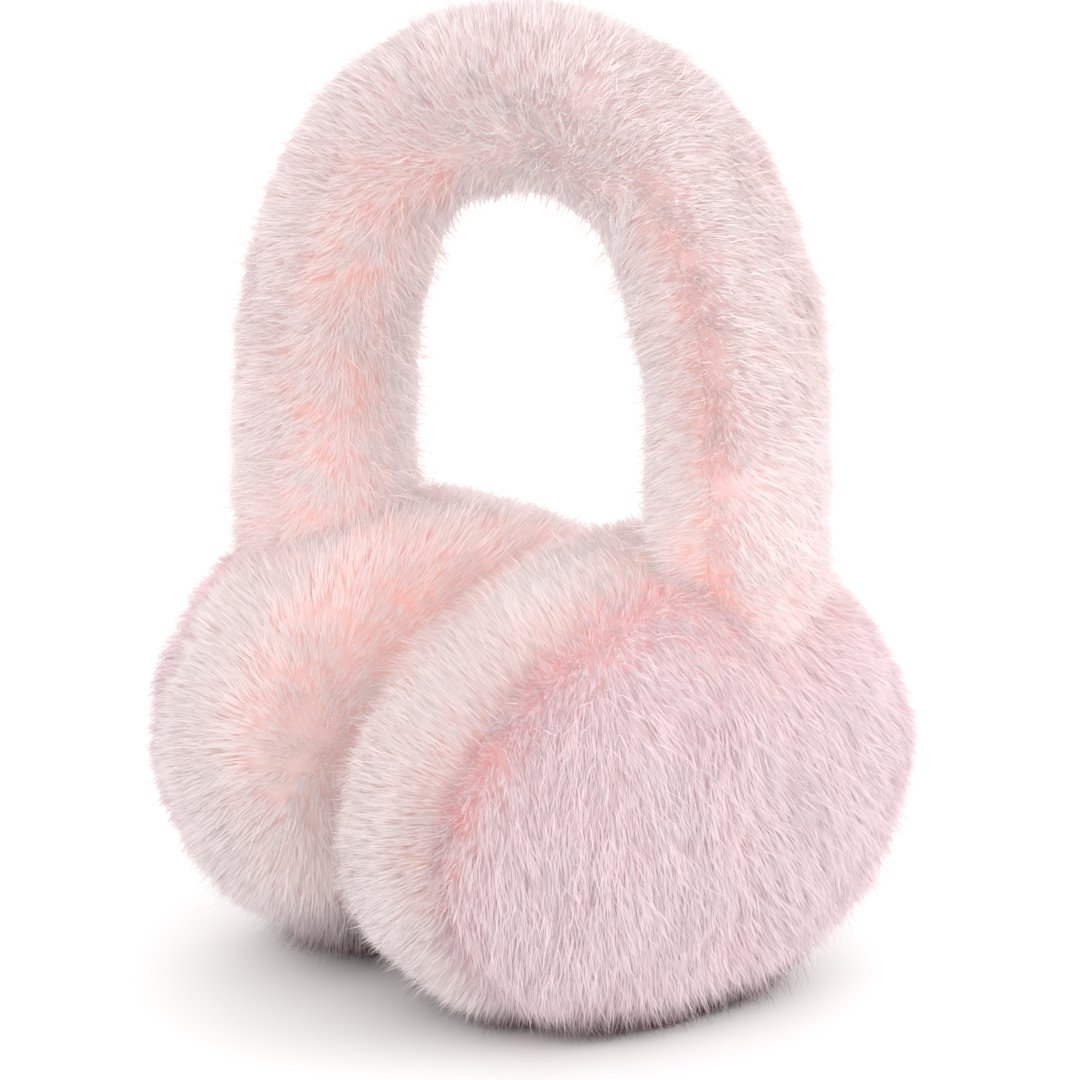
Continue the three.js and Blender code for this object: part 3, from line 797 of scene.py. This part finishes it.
# %% Backing of a cup's zone
BACKING_SINK = 2.6 * MM
GROUND_CLEARANCE = 0.35 * MM
CUP_RINGS = 18
CUP_RING_POINTS = 72
NEAR_POLE = 0.985
CUP_ZONES = {
    "face": (across_at(FACE_SEAM), NEAR_POLE, face_lie, face_fur),
    "rim": (across_at(PAD_SEAM), across_at(FACE_SEAM), rim_lie, rim_fur),
    "pad": (-NEAR_POLE, across_at(PAD_SEAM), pad_lie, pad_fur),
}


def cup_backing(low, high):
    """The closed body under one zone's fur: rings of the cup's formula from low to high across it."""
    around = np.arange(CUP_RING_POINTS) / CUP_RING_POINTS
    rings = np.meshgrid(np.linspace(low, high, CUP_RINGS), around, indexing="ij")
    points, triangles = closed_body(cup_surface(*rings, BACKING_SINK))
    points[:, 2] = np.maximum(points[:, 2], GROUND_CLEARANCE)
    return points, triangles


print("a zone's backing has", 2 * CUP_RINGS * CUP_RING_POINTS, "triangles")

# %% Hairs of a cup's zone
TUFT_CLEARANCE = 1 * MM
GROUND_UNEVENNESS = 0.4 * MM
MIDDLE_CLEARANCE = 0.3 * MM
CUP_STYLE = {"hairs": 8, "root_depth": 0.8 * MM, "tuft_radius": 1.3 * MM, "width": 0.3 * MM,
             "bend": 0.4, "sway": 0.13, "lean_sway": 0.06, "hair_sway": 0.18, "hair_lean_sway": 0.1,
             "pull": 0.35, "strays": 0.07, "stray_lift": 0.45, "stray_stretch": 1.3}


def cup_hairs(low, high, lie, tufts, seed):
    """One zone's hairs, their shades and how warm they are, painted shade at the leg included: tufts
    outside the leg follow the zone's recipe, changed a little by the unevenness."""
    rng = np.random.default_rng(seed)
    surface = partial(cup_surface, sink=BACKING_SINK)
    across, around = scatter(surface, (low, high), (0, 1), tufts, rng)
    point = surface(across, around)
    normal = normal_of(surface, across, around)
    keep = ~inside_left_leg(point, BACKING_SINK + TUFT_CLEARANCE)
    point, normal = point[keep], normal[keep]
    direction, lean, length = lie(point)
    flow = along_surface(direction, normal)
    drift = 0.3 * unevenness(point, 30 * MM, seed + 1)[:, None]
    flow = unit(flow + np.cross(normal, flow) * drift)
    lean = lean + 0.08 * unevenness(point, 18 * MM, seed + 2)
    length = length * (1 + 0.1 * unevenness(point, 22 * MM, seed + 3))
    kites, shade = hairs(point, normal, flow, lean, length, CUP_STYLE, rng)
    lowest = GROUND_CLEARANCE + GROUND_UNEVENNESS * rng.random(kites.shape[:2])
    kites[..., 2] = np.maximum(kites[..., 2], lowest)
    kites[..., 0] = np.maximum(kites[..., 0], MIDDLE_CLEARANCE)
    return kites, shade, np.repeat(cup_warmth_and_shade(point), CUP_STYLE["hairs"])


print("a tuft has", CUP_STYLE["hairs"], "hairs, of which astray:", CUP_STYLE["strays"])

# %% Cup pieces
def cup_piece(name, zone, angle, tufts, seed):
    """One zone of a cup, made as the left cup's and turned by an angle about the upright axis."""
    low, high, lie, material = CUP_ZONES[zone]
    points, triangles = cup_backing(low, high)
    kites, shade, warmth_and_shade = cup_hairs(low, high, lie, tufts, seed)
    piece = fur_piece(name, (turned(points, angle), triangles), turned(kites, angle), shade, warmth_and_shade,
                      cup_warmth_and_shade(points))
    piece.data.materials.append(material)
    return piece


made = {}
for side, angle, seed, (face_tufts, rim_tufts, pad_tufts) in (
        ("left", 0.0, 100, (8800, 7500, 3600)), ("right", math.pi, 500, (5300, 7500, 4700))):
    made[f"{side}_cup_face"] = cup_piece(f"{side}_face_fur", "face", angle, face_tufts, seed)
    made[f"{side}_cup_rim"] = cup_piece(f"{side}_rim_fur", "rim", angle, rim_tufts, seed + 10)
    made[f"{side}_ear_pad"] = cup_piece(f"{side}_pad_fur", "pad", angle, pad_tufts, seed + 20)

# %% [markdown]
# ## How the pile lies on the band
# Two strips of fur are sewn together along the band's front and back edges. On the legs the pile leans
# away from an open seam and down towards the cups. Over the crown that would leave a bald line where
# the two sides meet, so there it leans round the band instead, and the two lies fade into each other.

# %% Lie, warmth and painted foot shade of the band's fur
BAND_PILE = 6.6 * MM


def from_strip_middle(around, middle_around):
    """The place across a strip: -1 and 1 on its two seams and 0 in its middle."""
    return (around - middle_around) / 0.25


def band_lie(surface, along, around, middle_around):
    """Flow and lean: the directions to the foot, from the seam and round the band are small steps on
    the surface, added up by weights that depend on how near the seam and the crown are."""
    seam_side = from_strip_middle(around, middle_around)
    near_seam = np.abs(seam_side) ** 1.5
    parted = parting(along, around)
    crown = bell(along, 0.13)
    to_foot = unit(surface(along + SURFACE_STEP * np.sign(along), around) - surface(along, around))
    round_band = unit(surface(along, around + SURFACE_STEP) - surface(along, around - SURFACE_STEP))
    from_seam = -np.sign(seam_side)[:, None] * round_band
    downwards = (0.6 - 0.4 * near_seam) * (1 - crown)
    away = near_seam * (2 * parted - 1 if middle_around else 1)
    flow = to_foot * downwards[:, None] + from_seam * away[:, None] + round_band * (0.7 * crown)[:, None]
    upright = parted * bell(1 - np.abs(seam_side), 0.2)
    return flow, np.radians((46 - 34 * upright) * (1 - 0.35 * crown))


def band_warmth_and_shade(along, around, point, middle_around):
    """How far the salmon roots show: a bell at the open partings and a wide bell of loose clumps down
    the inner strip, most on the far leg. A ramp at the feet adds painted shade where the legs go
    into the cups."""
    seam_side = from_strip_middle(around, middle_around)
    at_parting = parting(along, around) * bell(1 - np.abs(seam_side), 0.16)
    salmon_middle = np.where(along > 0, 0.0, 0.62)
    inner = bell(seam_side - salmon_middle, 0.5, exponent=4) * ramp(np.abs(along), 0.06, 0.2, low=0.1)
    inner = inner * np.where(along > 0, 0.2, 1.0) * (1.0 if middle_around else 0.0)
    # Painted shade: a ramp at the feet, for the shadow where the legs go into the cups.
    foot_shade = 0.3 * ramp(point[:, 2], 106 * MM, 92 * MM)
    patchy = 0.7 + 0.4 * unevenness(point, 11 * MM, 78)
    return np.clip((0.8 * at_parting + inner + foot_shade) * patchy, 0, 1)


print("lean on the crown:", round(46 * (1 - 0.35)), "degrees, and on the legs: 46")

# %% [markdown]
# ## The band
# Each strip is made as a zone of a cup is, with three changes. Its rings are half loops, with points
# closer together at the seams where the section is tight. Its tufts are dropped where a leg is inside a
# cup. And its hairs are finer and stray more, because the band's outline shows the most fuzz.

# %% Hairs of a strip
BAND_ENDS = (-0.985, 0.985)
TUFTS_HALF = 0.249
BAND_STYLE = dict(CUP_STYLE, width=0.28 * MM, bend=0.45, hair_sway=0.24, stray_stretch=1.65,
                  stray_lift=0.6)


def band_hairs(middle_around, tufts, seed):
    """One strip's hairs, their shades and how warm they are, painted shade at the feet included. The
    test for a cup is made with the point turned half way round where it is on the right."""
    rng = np.random.default_rng(seed)
    surface = partial(band_surface, sink=BACKING_SINK)
    span = (middle_around - TUFTS_HALF, middle_around + TUFTS_HALF)
    along, around = scatter(surface, BAND_ENDS, span, tufts, rng)
    point = surface(along, around)
    normal = -normal_of(surface, along, around)
    flow, lean = band_lie(surface, along, around, middle_around)
    flow = along_surface(flow, normal)
    flow = unit(flow + np.cross(normal, flow) * 0.35 * unevenness(point, 28 * MM, seed + 1)[:, None])
    lean = lean + 0.08 * unevenness(point, 16 * MM, seed + 2)
    length = BAND_PILE * (1 + 0.1 * unevenness(point, 20 * MM, seed + 3))
    to_left = np.where(point[:, :1] < 0, -1, 1) * np.array([1, 1, 0]) + np.array([0, 0, 1])
    keep = ~inside_left_cup(point * to_left, BACKING_SINK + TUFT_CLEARANCE)
    kites, shade = hairs(point[keep], normal[keep], flow[keep], lean[keep], length[keep], BAND_STYLE, rng)
    warmth_and_shade = band_warmth_and_shade(along, around, point, middle_around)[keep]
    return kites, shade, np.repeat(warmth_and_shade, BAND_STYLE["hairs"])


print("a band hair is", BAND_STYLE["width"] / MM, "mm wide")

# %% Band pieces
BAND_RINGS = 120
BAND_RING_POINTS = 25
BACKING_HALF = 0.2495


def band_piece(name, middle_around, tufts, seed, material):
    """One strip: a closed body through half loops of the band's formula, and its hairs. The number
    middle_around is the section's in the middle of the strip."""
    share = BACKING_HALF * np.sin(np.linspace(-np.pi / 2, np.pi / 2, BAND_RING_POINTS))
    ring_along, ring_around = np.meshgrid(np.linspace(*BAND_ENDS, BAND_RINGS), middle_around - share,
                                          indexing="ij")
    points, triangles = closed_body(band_surface(ring_along, ring_around, BACKING_SINK))
    warmth_and_shade_on_rings = band_warmth_and_shade(ring_along.ravel(), ring_around.ravel(), points[:-2], middle_around)
    kites, shade, warmth_and_shade = band_hairs(middle_around, tufts, seed)
    piece = fur_piece(name, (points, triangles), kites, shade, warmth_and_shade,
                      np.concatenate([warmth_and_shade_on_rings, [0, 0]]))
    piece.data.materials.append(material)
    return piece


made["headband_outer_strip"] = band_piece("band_outer_fur", 0.0, 11100, 900, outer_fur)
made["headband_inner_strip"] = band_piece("band_inner_fur", 0.5, 9200, 950, inner_fur)

# %% [markdown]
# ## Placing the pieces
# Each fur piece takes the place of the solid it was made for and rides on the one body there is. Each
# is padded, and the ear pads give way the most.

# %% Pieces on the body
for node, piece in made.items():
    kind = node.replace("left_", "").replace("right_", "")
    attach(piece, "root")
    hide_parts(node)
print("triangles in all:", sum(len(piece.data.polygons) for piece in made.values()))

# %% [markdown]
# ## The ground
# The photograph was taken on a white table whose edge can't be seen. A backdrop bent up behind the
# object would do it, but from this height a wide flat ground fills the picture by itself.

# %% Ground
GROUND_HALF = 6.0
GROUND_WHITE = 0.96

ground_mesh = bpy.data.meshes.new("ground")
ground_mesh.from_pydata([(-GROUND_HALF, -GROUND_HALF, 0), (GROUND_HALF, -GROUND_HALF, 0),
                         (GROUND_HALF, GROUND_HALF, 0), (-GROUND_HALF, GROUND_HALF, 0)],
                        [], [(0, 1, 2, 3)])
ground = bpy.data.objects.new("ground", ground_mesh)
bpy.context.scene.collection.objects.link(ground)
ground_material = bpy.data.materials.new("pale_ground")
ground_material.use_nodes = True
ground_shader = ground_material.node_tree.nodes["Principled BSDF"]
ground_shader.inputs["Base Color"].default_value = (GROUND_WHITE, GROUND_WHITE, GROUND_WHITE, 1)
ground_shader.inputs["Roughness"].default_value = 0.7
ground_mesh.materials.append(ground_material)
print("ground is", 2 * GROUND_HALF, "m wide")

# %% [markdown]
# ## The light
# The object stood in a white light tent: light comes from everywhere, a little more from the front and
# the right, so the only clear shadow is the soft one where the cups touch the ground. The white
# surround does most of it, and four wide lights add the rest. Three bounces are enough because the
# pile's own glow stands in for the later ones, and a light is picked by chance at each bounce, which
# is quicker than weighing up lights this wide and gives the same picture.

# %% Surround and lights
SURROUND_STRENGTH = 1.03
LIGHT_AIM_HEIGHT = 0.1
BOUNCES = 3

world = bpy.data.worlds.new("light_tent")
world.use_nodes = True
world.node_tree.nodes["Background"].inputs["Color"].default_value = (1, 1, 1, 1)
world.node_tree.nodes["Background"].inputs["Strength"].default_value = SURROUND_STRENGTH
bpy.context.scene.world = world


def soft_light(name, bearing, height_angle, distance, width, watts):
    """A square area light at a bearing and height angle round the middle of the object, turned to face
    it: the sines and cosines of the two angles, times the distance, give its place."""
    data = bpy.data.lights.new(name, "AREA")
    data.size = width
    data.energy = watts
    light = bpy.data.objects.new(name, data)
    bearing, height_angle = math.radians(bearing), math.radians(height_angle)
    light.location = (distance * math.sin(bearing) * math.cos(height_angle),
                      -distance * math.cos(bearing) * math.cos(height_angle),
                      LIGHT_AIM_HEIGHT + distance * math.sin(height_angle))
    light.rotation_euler = (math.pi / 2 - height_angle, 0, bearing)
    bpy.context.scene.collection.objects.link(light)


soft_light("front_light", bearing=62, height_angle=12, distance=1.6, width=1.0, watts=4.5)
soft_light("left_light", bearing=12, height_angle=20, distance=1.5, width=1.0, watts=5)
soft_light("right_light", bearing=132, height_angle=8, distance=1.5, width=1.2, watts=15)
soft_light("back_light", bearing=230, height_angle=30, distance=1.6, width=1.2, watts=5)
bpy.context.scene.view_settings.view_transform = "Standard"
bpy.context.scene.view_settings.look = "None"
bpy.context.scene.view_settings.exposure = 0.0
bpy.context.scene.cycles.max_bounces = BOUNCES
bpy.context.scene.cycles.transmission_bounces = BOUNCES
bpy.context.scene.cycles.use_light_tree = False
print("lights:", [item.name for item in bpy.data.lights])
